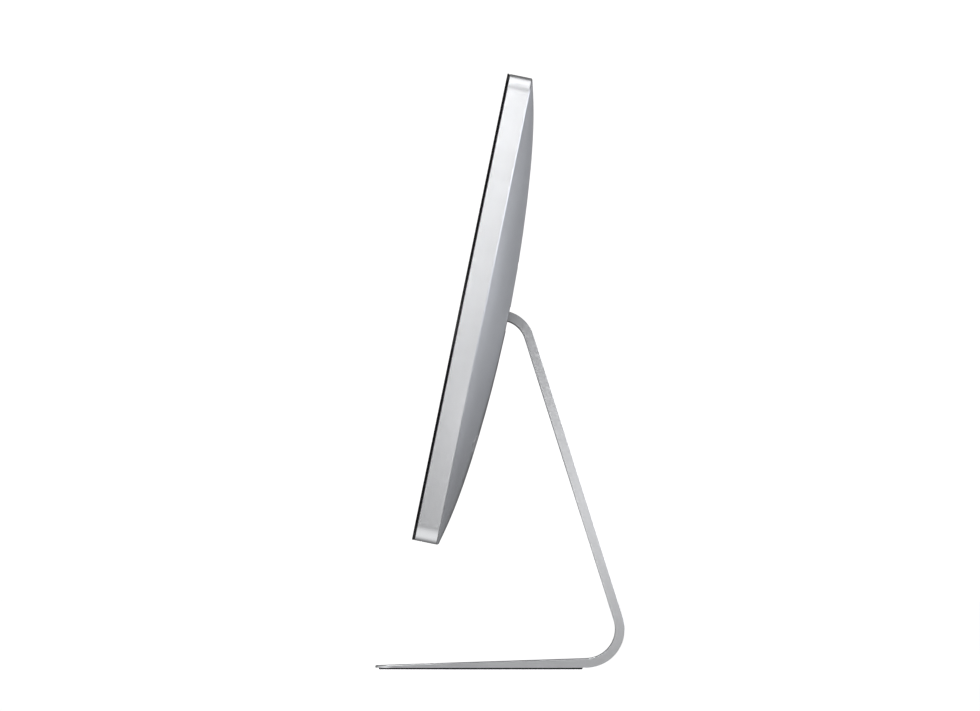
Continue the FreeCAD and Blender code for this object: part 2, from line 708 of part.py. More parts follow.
def make_front():
    glass = plate("glass_body", "body_width", "body_height", "glass_thick", "0", "corner_radius")
    rim = edges_at(glass.Shape, lambda m, e: m.y < 0.01)
    soften(glass, "Chamfer", rim, "0.25")
    keep(glass, "front_glass", HEAD)

    def panel_plate(label, width, height, depth, front, radius="2"):
        return keep(plate(label + "_body", width, height, depth, front, radius), label, HEAD)

    gasket = plate("gasket_outer", "panel_width - 4", "panel_height - 4", "0.35", "glass_thick", "2")
    inside = plate("gasket_inner", "active_width + 3", "active_height + 3", "2", "glass_thick - 1", "1")
    keep(without(gasket, [inside]), "panel_gasket", HEAD)

    case = plate("frame_outer", "panel_width", "panel_height", "panel_back - panel_front",
                 "panel_front", "3")
    room = plate("frame_inner", "panel_width - 2", "panel_height - 2", "20", "panel_front + 0.8", "2")
    window = plate("frame_window", "active_width + 1", "active_height + 1", "5", "panel_front - 1", "1")
    ears = [block(("6", "1", "9"), ("(%s) - %s" % (x, "1.2" if x[0] != "-" else "-1.2"), "4.5", z), "xz")
            for x, z in PANEL_TABS]
    ears.append(block(("60", "1.2", "6"), ("0", "5.8", "panel_height / 2 + 3"), "xz"))
    holes = [rod("1", "3", (x, "4", z)) for x, z in PANEL_TABS]
    keep(without(joined([without(case, [room, window])] + ears), holes), "panel_frame", HEAD)
    keep(group([screw((x, "4.5", z), "0.8", "6", "1.7", "0.8") for x, z in PANEL_TABS]),
         "panel_screws", HEAD)

    panel_plate("lcd_cell", "cell_width", "cell_height", "cell_thick", "panel_front + 0.8")
    panel_plate("light_guide", "cell_width", "cell_height - 6", "3", "panel_front + 3.6")
    sheets = [plate("sheet_body", "cell_width", "cell_height", depth, front, "1")
              for depth, front in (("0.8", "panel_front + 2.7"), ("0.3", "panel_front + 6.7"))]
    keep(group(sheets), "optical_sheets", HEAD)
    panel_plate("panel_tray", "panel_width - 2.2", "panel_height - 2.2", "1.2", "panel_back - 1.4")
    strip = block(("cell_width - 4", "4", "1.2"), ("0", "panel_front + 3.2", "-cell_height / 2 - 2"), "xz")
    chips = [block(("5", "2.4", "0.8"), ("9.4 * %d" % n, "panel_front + 4", "-cell_height / 2 - 1"), "xz")
             for n in range(-31, 32)]
    keep(group([strip] + chips), "led_strip", HEAD)

    control = block(("210", "0.8", "34"), ("-40", "panel_back", "-96"), "xz")
    pieces = [block(("16", "0.7", "16"), (x, "panel_back + 0.8", "-96"), "xz") for x in ("-110", "-40", "20")]
    keep(joined([control] + pieces), "panel_control_board", HEAD)


# ---------------------------------------------------------------- hinge brackets on the display


def make_brackets():
    """Steel brackets that hang the display on the ends of the shaft."""
    axis = ("hinge_depth", "-hinge_drop")
    brackets, bushes, screws = [], [], []
    for side in (-1, 1):
        low = "ear_inner" if side > 0 else "-ear_inner - ear_thick"
        centre = "%d * (ear_inner + ear_thick / 2)" % side
        ear = rod("ear_radius", "ear_thick", (low, axis[0], axis[1]), "x")
        arm = block(("ear_thick", "33 - hinge_depth", "2 * ear_radius"), (centre, axis[0], axis[1]), "xz")
        foot = block(("24", "3", "40"), ("%d * (ear_inner + 12)" % side, "30", axis[1]), "xz")
        bore = rod("bush_outer", "ear_thick + 2", ("(%s) - 1" % low, axis[0], axis[1]), "x")
        holes = [rod("1.6", "5", ("%d * 119" % side, "29", z)) for z in ("-15", "13.4")]
        brackets.append(without(joined([ear, arm, foot]), [bore] + holes))
        bushes.append(ring("bush_outer", "shaft_radius + bush_clear", "ear_thick",
                           (low, axis[0], axis[1]), "x"))
        screws += [screw(("%d * 119" % side, "30", z), "1", "5.5", "2.8", "1.8") for z in ("-15", "13.4")]
    keep(group(brackets), "hinge_brackets", HEAD)
    keep(group(bushes), "hinge_bushes", HEAD)
    keep(group(screws), "bracket_screws", HEAD)


# ---------------------------------------------------------------- electronics


def make_board():
    front = "board_back - board_thick"
    blank = block(("290", "board_thick", "122"), ("85", front, "-89"), "xz")
    holes = [rod("1.3", "5", (x, "(%s) - 1" % front, z)) for x, z in BOARD_HOLES + SINK_HOLES]
    keep(without(blank, holes), "main_board", HEAD)

    def on_board(x, z, width, height, depth):
        return block((width, depth, height), (x, "board_back", z), "xz")

    keep(on_board("75", "-71", "37.5", "37.5", "1.4"), "processor", HEAD)
    keep(on_board("-15", "-66", "32", "32", "1.4"), "graphics_chip", HEAD)
    keep(group([on_board("140", "-78", "20", "20", "1.4"), on_board("26", "-104", "14", "14", "1.2"),
                on_board("190", "-70", "12", "12", "1.2")]
               + [on_board("%d" % (-48 + 16 * n), "-96", "10", "12", "1") for n in range(4)]),
         "board_chips", HEAD)
    coils = [on_board("%d" % (40 + 13 * n), "-40", "9", "9", "5") for n in range(5)]
    cans = [rod("3.2", "5.5", ("%d" % (110 + 10 * n), "board_back", "-42")) for n in range(3)]
    keep(group(coils + cans), "board_power_parts", HEAD)
    keep(group([rod("10", "3.2", ("205", "board_back + 0.8", "-52")),
                ring("11.2", "10.1", "3", ("205", "board_back", "-52"))]), "coin_cell", HEAD)
    keep(joined([on_board("168", "-60", "24", "22", "1"), on_board("168", "-60", "17", "15", "2.6")]),
         "wireless_card", HEAD)

    sockets, modules = [], []
    for level in ("13.4", "17.2"):
        sockets.append(block(("114", "3.2", "7"), ("0", level, "-153.5"), "xz"))
        card = block(("110", "1", "29"), ("0", "(%s) + 1.1" % level, "-171.5"), "xz")
        chips = [block(("10", "0.9", "12"), ("%d" % (-42 + 12 * n), "(%s) + 0.2" % level, "-172"), "xz")
                 for n in range(8)]
        modules.append(joined([card] + chips))
    keep(group(sockets), "memory_sockets", HEAD)
    keep(group(modules), "memory_modules", HEAD)

    low = "-body_height / 2"
    door = block(("123.4", "8.4", "2.6"), ("0", "8.8", low + " + 1.5"), "xz")
    recesses = [rod("2.2", "1.4", (x, "13", low), "z") for x in DOOR_HOLES]
    holes = [rod("1", "5", (x, "13", low), "z") for x in DOOR_HOLES]
    keep(without(door, recesses + holes), "memory_door", HEAD)
    keep(group([screw((x, "13", low + " + 1.4"), "0.8", "4", "2", "1", "z") for x in DOOR_HOLES]),
         "memory_door_screws", HEAD)


def make_cooling():
    sinks, fins, screws = [], [], []
    for side, chip_x, chip_z in ((1, "75", "-71"), (-1, "-15", "-66")):
        top = Vector(side * 22, 22, 24)
        path = [Vector(float(chip_x) - side * 14, 22, -71), Vector(side * 125, 22, -71)]
        bend_low = Part.Arc(path[1], Vector(side * 133.49, 22, -67.49), Vector(side * 137, 22, -59)).toShape()
        bend_top = Part.Arc(Vector(side * 137, 22, 12), Vector(side * 133.49, 22, 20.49),
                            Vector(side * 125, 22, 24)).toShape()
        wire = Part.Wire([
            Part.makeLine(path[0], path[1]), bend_low,
            Part.makeLine(Vector(side * 137, 22, -59), Vector(side * 137, 22, 12)), bend_top,
            Part.makeLine(Vector(side * 125, 22, 24), top)])
        ends = Part.Wire([Part.makeCircle(2.5, path[0], Vector(1, 0, 0))])
        pipe = shaped(wire.makePipeShell([ends], True, True), "heat_pipe")
        cold = block(("40", "3.2", "34"), (chip_x, "board_back + 1.4", chip_z), "xz")
        arms = block(("58", "1.6", "8"), (chip_x, "board_back + 2.4", chip_z), "xz")
        base = block(("74", "1.8", "42"), ("%d * 58" % side, "18", "41"), "xz")
        sinks.append(joined([pipe, cold, arms, base]))
        fins += [block(("74", "12.6", "0.5"), ("%d * 58" % side, "19.8", "28.6 + 2.9 * %d" % n), "xz")
                 for n in range(12)]
    keep(group(sinks), "heat_sinks", HEAD)
    keep(group(fins), "cooling_fins", HEAD)

    casings, covers = [], []
    for side in (-1, 1):
        x = "%d * blower_x" % side
        depth = "blower_back - 1.2 - blower_front"
        scroll = rod("blower_radius", depth, (x, "blower_front", "blower_z"))
        mouth = block(("blower_x - 98", depth, "28"),
                      ("%d * (98 + (blower_x - 98) / 2)" % side, "blower_front", "42"), "xz")
        lugs = [rod("3.4", depth, (hx, "blower_front", hz)) for hx, hz in blower_holes(side)]
        room = rod("blower_radius - 1.4", "30", (x, "blower_front + 1.2", "blower_z"))
        throat = block(("blower_x - 98 + 1", "30", "25.2"),
                       ("%d * (97 + (blower_x - 98) / 2)" % side, "blower_front + 1.2", "42"), "xz")
        bores = [rod("1.2", "30", (hx, "blower_front - 1", hz)) for hx, hz in blower_holes(side)]
        spindle = rod("1.5", "blower_back - blower_front - 3", (x, "blower_front", "blower_z"))
        shell = without(joined([scroll, mouth] + lugs), [room, throat] + bores)
        casings.append(joined([shell, spindle]))
        lid = joined([rod("blower_radius", "1.2", (x, "blower_back - 1.2", "blower_z")),
                      block(("blower_x - 98", "1.2", "28"),
                            ("%d * (98 + (blower_x - 98) / 2)" % side, "blower_back - 1.2", "42"), "xz")]
                     + [rod("3.4", "1.2", (hx, "blower_back - 1.2", hz)) for hx, hz in blower_holes(side)])
        inlet = rod("19", "4", (x, "blower_back - 2", "blower_z"))
        bores = [rod("1.2", "4", (hx, "blower_back - 2", hz)) for hx, hz in blower_holes(side)]
        covers.append(without(lid, [inlet] + bores))
        screws += [screw((hx, "blower_front", hz), "1", "blower_back - blower_front + 3", "2.2", "0.9")
                   for hx, hz in blower_holes(side)]

        hub = rod("9", "9.6", (x, "blower_front + 1.7", "blower_z"))
        web = rod("impeller_radius", "0.8", (x, "blower_front + 1.7", "blower_z"))
        blades = []
        for n in range(23):
            angle = 360 * n / 23
            blade = block(("impeller_radius - 19", "9", "0.9"), ("0", "0", "0"), "z")
            turn = Rotation(Vector(0, 1, 0), angle)
            blade.Placement = Placement(Vector(), turn)
            holder = group([blade])
            bind(blade, "Placement.Base.x", "19 * %.6f + 4 * %.6f" % (
                math.cos(math.radians(angle)), -math.sin(math.radians(angle))))
            bind(blade, "Placement.Base.z", "19 * %.6f + 4 * %.6f" % (
                -math.sin(math.radians(angle)), -math.cos(math.radians(angle))))
            bind(holder, "Placement.Base.x", x)
            bind(holder, "Placement.Base.y", "blower_front + 2.4")
            bind(holder, "Placement.Base.z", "blower_z")
            blades.append(holder)
        bore = rod("1.5 + bush_clear", "20", (x, "blower_front", "blower_z"))
        wheel = without(joined([hub, web] + blades), [bore])
        keep(wheel, "impeller_right" if side > 0 else "impeller_left", HEAD)
    keep(group(casings), "blower_casings", HEAD)
    keep(group(covers), "blower_covers", HEAD)
    keep(group(screws), "blower_screws", HEAD)


def make_supply():
    blank = block(("158", "1.6", "66"), ("-165", "supply_back - 1.6", "-116"), "xz")
    holes = [rod("1.3", "6", (x, "supply_back - 3", z)) for x, z in SUPPLY_HOLES]
    keep(without(blank, holes), "supply_board", HEAD)

    def on_supply(x, z, width, height, depth):
        return block((width, depth, height), (x, "supply_back", z), "xz")

    cans = [rod("5", "24", (x, "supply_back + 5", "-132"), "z") for x in ("-222", "-208")]
    keep(group(cans + [
        on_supply("-176", "-120", "30", "24", "9"), on_supply("-140", "-128", "16", "14", "8"),
        on_supply("-190", "-96", "44", "3", "9"), on_supply("-120", "-100", "3", "26", "9"),
    ]), "supply_power_parts", HEAD)


def make_drive():
    keep(block(("100", "7", "66"), ("-10", "drive_back - 8.2", "125"), "xz"), "storage_drive", HEAD)
    tray = block(("126", "1.2", "70"), ("-10", "drive_back - 1.2", "125"), "xz")
    lips = [block(("1", "6", "60"), (x, "drive_back - 7", "125"), "xz") for x in ("-60.6", "40.6")]
    holes = [rod("1.3", "5", (x, "drive_back - 3", z)) for x, z in DRIVE_HOLES]
    keep(without(joined([tray] + lips), holes), "drive_bracket", HEAD)


def make_speakers():
    low = "-body_height / 2 + wall_thick"
    boxes, drivers = [], []
    for side in (-1, 1):
        middle = "%d * 203" % side
        body = block(("186", "11.2", "9.8"), (middle, "5.9", low + " + 5.1"), "xz")
        plenum = block(("180", "8", "3"), (middle, "7.5", low + " + 1.6"), "xz")
        seats = [rod("3.9", "4", ("%d * %s" % (side, x), "11.5", low + " + 3"), "z") for x in (150, 203, 256)]
        boxes.append(without(body, [plenum] + seats))
        for x in (150, 203, 256):
            at = ("%d * %s" % (side, x), "11.5", low + " + 3.6")
            cone = rod("2.8", "1.2", ("%d * %s" % (side, x), "11.5", low + " + 3.2"), "z")
            drivers.append(without(rod("3.9", "3.4", at, "z"), [cone]))
    keep(group(boxes), "speaker_boxes", HEAD)
    keep(group(drivers), "speaker_drivers", HEAD)


# ---------------------------------------------------------------- ports and controls


def port_face(x, width, height):
    """Depth at which a connector's flat face stays a little under the dome."""
    z = d("port_z")
    corners = [dome_depth(float(x) + i * width / 2, z + j * height / 2) for i in (-1, 1) for j in (-1, 1)]
    return min(corners) - 0.5


def connector(x, width, height, wall, tongue=None):
    face = port_face(x, width, height)
    shell = block((width, face - d("board_back"), height), (x, "board_back", "port_z"), "xz")
    mouth = block((width - 2 * wall, "12", height - 2 * wall), (x, face - 11, "port_z"), "xz")
    if tongue is None:
        return without(shell, [mouth])
    thick, tall = tongue
    return joined([without(shell, [mouth]), block((thick, 7.2, tall), (x, face - 11.2, "port_z"), "xz")])


def make_ports():
    keep(group([connector(x, 6.6, 14.2, 0.8, (1.6, 10.4)) for x in USB_PLACES]), "usb_ports", HEAD)
    keep(group([connector(x, 6.4, 9.2, 0.9, (0.9, 5)) for x in DISPLAY_PLACES]), "display_ports", HEAD)
    keep(connector(ETHERNET_PLACE, 14.2, 14.2, 1.1), "ethernet_port", HEAD)
    jacks = []
    for x in AUDIO_PLACES:
        face = port_face(x, 6, 6)
        barrel = rod("3", face - d("board_back"), (x, "board_back", "port_z"), seam=90)
        socket = rod("1.8", "12", (x, face - 9, "port_z"), seam=90)
        jacks.append(without(barrel, [socket]))
    keep(group(jacks), "audio_jacks", HEAD)

    cup = clipped([rod("inlet_radius + inlet_wall", "40", ("0", "22", "inlet_z"))], 0.6)
    flange = rod("inlet_radius + inlet_wall + 3", "2.5", ("0", "22", "inlet_z"))
    keep(without(joined([cup, flange]), [rod("inlet_radius", "40", ("0", "24.5", "inlet_z"))]),
         "power_inlet", HEAD)
    pins = [rod("1.6", "7", (x, "24.5", z)) for x, z in (
        ("-5", "inlet_z - 1.5"), ("5", "inlet_z - 1.5"), ("0", "inlet_z + 5"))]
    keep(group(pins), "inlet_pins", HEAD)

    cap = clipped([rod("button_radius", "30", ("button_x", "17.8", "button_z"))], 0)
    flange = rod("button_radius + 1.5", "1.4", ("button_x", "17.8", "button_z"))
    stem = rod("1.5", "1", ("button_x", "16.9", "button_z"))
    keep(joined([cap, flange, stem]), "power_button", HEAD)
    board = block(("28", "1", "10"), ("button_x", "13.4", "button_z"), "xz")
    click = block(("6", "1.6", "6"), ("button_x", "14.4", "button_z"), "xz")
    keep(joined([board, click]), "power_switch", HEAD)


def make_camera():
    top = "panel_height / 2"
    board = block(("44", "0.8", "5.4"), ("0", "5", top + " + 3.3"), "xz")
    microphones = [rod("1.5", "1.2", (x, "3.9", top + " + 3.4")) for x in ("-16", "16")]
    keep(joined([board] + microphones), "camera_board", HEAD)
    barrel = rod("2.4", "3", ("0", "2", top + " + 3.4"))
    keep(without(barrel, [rod("1.1", "1.2", ("0", "1.5", top + " + 3.4"))]), "camera_lens", HEAD)
    keep(group([block(("46", "0.8", "4.6"), (x, "2.6", top + " + 2.3"), "xz") for x in ("-190", "190")]),
         "antennas", HEAD)


def make_grille():
    layer = clipped([plate("grille_outline", "2 * exhaust_half", "exhaust_height", "60", "25",
                           "exhaust_height / 2 - 0.05", ("0", "exhaust_z"))], 0.3)
    holes = [block(("3", "40", "3.4"), ("4.2 * %d" % n, "20", "exhaust_z"), "xz") for n in range(-20, 21)]
    keep(without(layer, [dome_block(2.5)] + holes), "exhaust_grille", HEAD)


def make_board_screws():
    """The same screw holds the main board, the power supply and the drive bracket."""
    places = [(x, "board_back - board_thick", z) for x, z in BOARD_HOLES]
    places += [(x, "supply_back - 1.6", z) for x, z in SUPPLY_HOLES]
    places += [(x, "drive_back - 1.2", z) for x, z in DRIVE_HOLES]
    keep(group([screw(at, "1", "4.4", "2.3", "1") for at in places]), "board_screws", HEAD)


# ---------------------------------------------------------------- build and export


def check_document():
    doc.recompute()
    for obj in doc.Objects:
        if "Invalid" in obj.State or "Error" in obj.State:
            raise RuntimeError("%s did not compute" % obj.Name)
    for obj in sub_parts:
        if obj.Shape.isNull() or not obj.Shape.isValid() or not obj.Shape.Solids:
            raise RuntimeError("%s is not a sound solid" % obj.Label)


def export_all():
    os.makedirs("parts", exist_ok=True)
    for obj in sub_parts:
        obj.Shape.exportStep("parts/%s.step" % obj.Label)


make_stand()
make_hinge()
make_housing()
make_front()
make_brackets()
make_board()
make_cooling()
make_supply()
make_drive()
make_speakers()
make_ports()
make_camera()
make_grille()
make_board_screws()
check_document()
export_all()
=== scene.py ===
import json
import math

import bpy
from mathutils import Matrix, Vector


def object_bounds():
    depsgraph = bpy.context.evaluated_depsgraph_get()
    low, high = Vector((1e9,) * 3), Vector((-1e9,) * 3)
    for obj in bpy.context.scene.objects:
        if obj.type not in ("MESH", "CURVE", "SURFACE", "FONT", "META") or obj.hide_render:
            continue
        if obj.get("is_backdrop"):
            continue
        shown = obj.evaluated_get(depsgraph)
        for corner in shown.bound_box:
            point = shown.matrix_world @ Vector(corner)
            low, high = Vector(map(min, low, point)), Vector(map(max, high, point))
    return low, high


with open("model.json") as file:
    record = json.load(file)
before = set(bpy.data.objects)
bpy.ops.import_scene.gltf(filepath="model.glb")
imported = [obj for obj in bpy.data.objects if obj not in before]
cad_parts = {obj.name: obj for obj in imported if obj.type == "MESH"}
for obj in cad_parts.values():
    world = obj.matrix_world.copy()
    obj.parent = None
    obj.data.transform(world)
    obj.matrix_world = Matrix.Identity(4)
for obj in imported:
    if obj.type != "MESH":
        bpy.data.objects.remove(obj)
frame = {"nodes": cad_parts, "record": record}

CAD_LOW, CAD_HIGH = (list(corner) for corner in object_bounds())
NODES = frame["nodes"]
RECORD = frame["record"]

# Lengths are in metres. The display faces -Y, and its right side faces +X and the camera.


# ---------------------------------------------------------------- the display's own frame

LEAN = math.radians(11.6)
UP_SCREEN = Vector((0, math.sin(LEAN), math.cos(LEAN)))
INTO_SCREEN = Vector((0, math.cos(LEAN), -math.sin(LEAN)))
ACROSS_SCREEN = (1.0, 0.0, 0.0)
TILT = next(joint for joint in RECORD["behaviour"]["joints"] if joint["name"] == "tilt")
GLASS_BEFORE_AXIS = 0.0230
GLASS_ABOVE_AXIS = 0.0008
GLASS_CENTRE = Vector(TILT["pos_m"]) - INTO_SCREEN * GLASS_BEFORE_AXIS + UP_SCREEN * GLASS_ABOVE_AXIS

PANEL_HALF_WIDTH = 0.2988
PANEL_HALF_HEIGHT = 0.1683
LENS_ABOVE_CENTRE = 0.1844
LENS_CENTRE = GLASS_CENTRE + UP_SCREEN * LENS_ABOVE_CENTRE
LENS_RING_RADIUS = 0.0026
LENS_RING_HALF_WIDTH = 0.0005


# ---------------------------------------------------------------- node helpers

class Tree:
    """A node tree, with short calls to add nodes and join them."""

    def __init__(self, owner):
        owner.use_nodes = True
        self.nodes = owner.node_tree.nodes
        self.links = owner.node_tree.links

    def add(self, kind, inputs=(), **settings):
        node = self.nodes.new(kind)
        for key, value in settings.items():
            setattr(node, key, value)
        for key, value in dict(inputs).items():
            self.put(value, node.inputs[key])
        return node

    def put(self, value, socket):
        if isinstance(value, bpy.types.NodeSocket):
            self.links.new(value, socket)
        else:
            socket.default_value = value

    def math(self, operation, a, b=0.0, c=0.0):
        return self.add("ShaderNodeMath", {0: a, 1: b, 2: c}, operation=operation).outputs[0]

    def dot(self, a, b):
        return self.add("ShaderNodeVectorMath", {0: a, 1: b}, operation="DOT_PRODUCT").outputs["Value"]


class Finish(Tree):
    """A material's tree, with the patterns that the finishes are made of."""

    def __init__(self, name):
        self.material = bpy.data.materials.new(name)
        super().__init__(self.material)
        self.shader = self.nodes["Principled BSDF"]
        self.place = self.add("ShaderNodeTexCoord").outputs["Object"]

    def set(self, **values):
        for key, value in values.items():
            self.put(value, self.shader.inputs[key.replace("_", " ")])

    def scaled(self, scale):
        return self.add("ShaderNodeMapping", {"Vector": self.place, "Scale": scale}).outputs["Vector"]

    def noise(self, scale, detail=3.0, rough=0.55, where=None):
        inputs = {"Vector": where or self.place, "Scale": scale, "Detail": detail, "Roughness": rough}
        return self.add("ShaderNodeTexNoise", inputs).outputs["Fac"]

    def span(self, value, low, high, start=0.0, stop=1.0):
        """Runs from low to high while the value goes from start to stop."""
        inputs = {"Value": value, "From Min": start, "From Max": stop, "To Min": low, "To Max": high}
        return self.add("ShaderNodeMapRange", inputs).outputs["Result"]

    def mix(self, factor, a, b):
        node = self.add("ShaderNodeMix", data_type="RGBA")
        for socket, value in ((node.inputs[0], factor), (node.inputs[6], a), (node.inputs[7], b)):
            self.put(value, socket)
        return node.outputs[2]

    def blend(self, pattern, a, b, start=0.3, stop=0.7):
        """Colour a below start, colour b above stop, and a mixture between them."""
        return self.mix(self.span(pattern, 0.0, 1.0, start, stop), rgb(a), rgb(b))

    def along(self, axis, origin):
        """Distance of the shaded point from origin, along an axis."""
        away = self.add("ShaderNodeVectorMath", {0: self.place, 1: origin}, operation="SUBTRACT")
        return self.dot(away.outputs[0], axis)

    def bump(self, height, strength, distance):
        inputs = {"Height": height, "Strength": strength, "Distance": distance}
        self.set(Normal=self.add("ShaderNodeBump", inputs).outputs["Normal"])


def rgb(tone):
    """A colour as sockets take it, with its alpha."""
    return (*tone, 1.0)


def shade(tone, amount):
    return tuple(amount * value for value in tone)


# ---------------------------------------------------------------- materials

def blasted_aluminium(name, tone=(0.795, 0.803, 0.822), rough=0.32):
    """Bead-blasted and anodised: an even, very fine grain with no direction."""
    t = Finish(name)
    cloud = t.noise(9.0, detail=2.0)
    grain = t.noise(2600.0, detail=2.0, rough=0.6)
    colour = t.blend(cloud, shade(tone, 0.965), tone)
    flecks = t.span(grain, 0.0, 0.35, 0.35, 0.7)
    uneven = t.span(cloud, -0.015, 0.015)
    t.set(Base_Color=t.mix(flecks, colour, rgb(shade(tone, 0.90))), Metallic=1.0,
          Roughness=t.math("ADD", t.span(grain, rough - 0.03, rough + 0.03), uneven))
    t.bump(grain, strength=0.16, distance=0.00008)
    return t.material


def brushed_steel(name, tone=(0.62, 0.62, 0.63), rough=0.34, stretch=(40.0, 900.0, 900.0)):
    """Fine streaks along one axis, with faint smudges in the gloss."""
    t = Finish(name)
    streak = t.noise(1.0, detail=4.0, rough=0.6, where=t.scaled(stretch))
    smudges = t.span(t.noise(60.0), -0.03, 0.04)
    t.set(Base_Color=t.blend(streak, shade(tone, 0.84), tone), Metallic=1.0,
          Roughness=t.math("ADD", t.span(streak, rough - 0.08, rough + 0.08), smudges))
    t.bump(streak, strength=0.12, distance=0.0001)
    return t.material


def moulded_plastic(name, tone, rough=0.5, grain_scale=1500.0, strength=0.2):
    """Plastic with a fine spark-eroded texture and slightly uneven gloss."""
    t = Finish(name)
    grain = t.noise(grain_scale, rough=0.6)
    patch = t.noise(25.0, detail=2.0)
    uneven = t.span(patch, -0.03, 0.03)
    t.set(Base_Color=t.blend(patch, shade(tone, 0.78), tone),
          Roughness=t.math("ADD", t.span(grain, rough - 0.06, rough + 0.06), uneven))
    t.bump(grain, strength, distance=0.0001)
    return t.material


def black_rubber(name):
    """Dull and pitted, with a little dust in the pits."""
    t = Finish(name)
    pits = t.noise(900.0, detail=4.0, rough=0.65)
    dust = t.span(t.noise(70.0), 0.0, 0.5, 0.45, 0.75)
    t.set(Base_Color=t.mix(dust, rgb((0.035, 0.035, 0.038)), rgb((0.075, 0.075, 0.078))),
          Roughness=t.span(pits, 0.62, 0.84))
    t.bump(pits, strength=0.35, distance=0.0002)
    return t.material


def screen_glass(name):
    """Polished glass over a black printed border, with the dark panel and a camera's ring inside it."""
    t = Finish(name)
    centre, lens, upwards = tuple(GLASS_CENTRE), tuple(LENS_CENTRE), tuple(UP_SCREEN)
    across = t.math("ABSOLUTE", t.along(ACROSS_SCREEN, centre))
    up = t.math("ABSOLUTE", t.along(upwards, centre))
    in_panel = t.math("MULTIPLY", t.math("LESS_THAN", across, PANEL_HALF_WIDTH),
                      t.math("LESS_THAN", up, PANEL_HALF_HEIGHT))
    lens_offsets = (t.along(ACROSS_SCREEN, lens), t.along(upwards, lens))
    squares = [t.math("MULTIPLY", offset, offset) for offset in lens_offsets]
    from_lens = t.math("SQRT", t.math("ADD", *squares))
    off_ring = t.math("ABSOLUTE", t.math("SUBTRACT", from_lens, LENS_RING_RADIUS))
    on_ring = t.math("LESS_THAN", off_ring, LENS_RING_HALF_WIDTH)
    smear = t.noise(14.0, detail=4.0, rough=0.6)
    panel = t.blend(smear, (0.0085, 0.0091, 0.0110), (0.0100, 0.0107, 0.0127))
    border = t.blend(smear, (0.0032, 0.0032, 0.0035), (0.0042, 0.0042, 0.0046))
    t.set(Base_Color=t.mix(on_ring, t.mix(in_panel, border, panel), rgb((0.035, 0.035, 0.038))),
          Roughness=t.math("ADD", t.span(in_panel, 0.045, 0.07), t.span(smear, 0.0, 0.02, 0.35, 0.8)),
          IOR=1.5, Specular_IOR_Level=0.25)
    t.bump(t.noise(3.0, detail=1.0), strength=0.02, distance=0.0004)
    return t.material


def smooth_layer(name, tone, rough=0.3):
    """A film or light guide: smooth, with a faint field of dots."""
    t = Finish(name)
    film = t.noise(30.0)
    dots = t.add("ShaderNodeTexVoronoi", {"Vector": t.place, "Scale": 700.0}).outputs["Distance"]
    t.set(Base_Color=t.blend(film, shade(tone, 0.93), tone), Roughness=t.span(film, rough, rough + 0.1))
    t.bump(dots, strength=0.05, distance=0.0001)
    return t.material


def circuit_board(name, tone=(0.02, 0.10, 0.055)):
    """Solder mask with copper tracks under it and small plated pads."""
    t = Finish(name)
    flat = t.scaled((1.0, 0.0, 1.0))
    cells = t.add("ShaderNodeTexVoronoi", {"Vector": flat, "Scale": 210.0}, distance="MANHATTAN")
    lines = t.add("ShaderNodeTexBrick", {
        "Vector": flat, "Scale": 60.0, "Mortar Size": 0.03, "Mortar Smooth": 0.2,
        "Color1": rgb((0, 0, 0)), "Color2": rgb((0.25, 0.25, 0.25)), "Mortar": rgb((1, 1, 1))})
    tracks = t.math("MULTIPLY", lines.outputs["Fac"], 0.6)
    pads = t.math("LESS_THAN", cells.outputs["Distance"], 0.16)
    mask = t.mix(tracks, rgb(tone), rgb(shade(tone, 2.1)))
    t.set(Base_Color=t.mix(pads, mask, rgb((0.62, 0.56, 0.42))), Metallic=t.math("MULTIPLY", pads, 0.9),
          Roughness=t.span(t.noise(300.0), 0.28, 0.42))
    t.bump(t.math("ADD", tracks, pads), strength=0.25, distance=0.0002)
    return t.material


def drawn_copper(name, tone=(0.78, 0.43, 0.27)):
    """Copper with darker, duller patches of tarnish."""
    t = Finish(name)
    tarnish = t.noise(45.0, detail=5.0, rough=0.6)
    fine = t.noise(700.0, detail=2.0)
    t.set(Base_Color=t.blend(tarnish, tone, shade(tone, 0.72), 0.35, 0.7), Metallic=1.0,
          Roughness=t.math("ADD", t.span(tarnish, 0.25, 0.4), t.span(fine, -0.03, 0.03)))
    t.bump(fine, strength=0.08, distance=0.0001)
    return t.material


def paint(name, material):
    """Gives a node its finish."""
    node = NODES[name]
    node.data.materials.clear()
    node.data.materials.append(material)


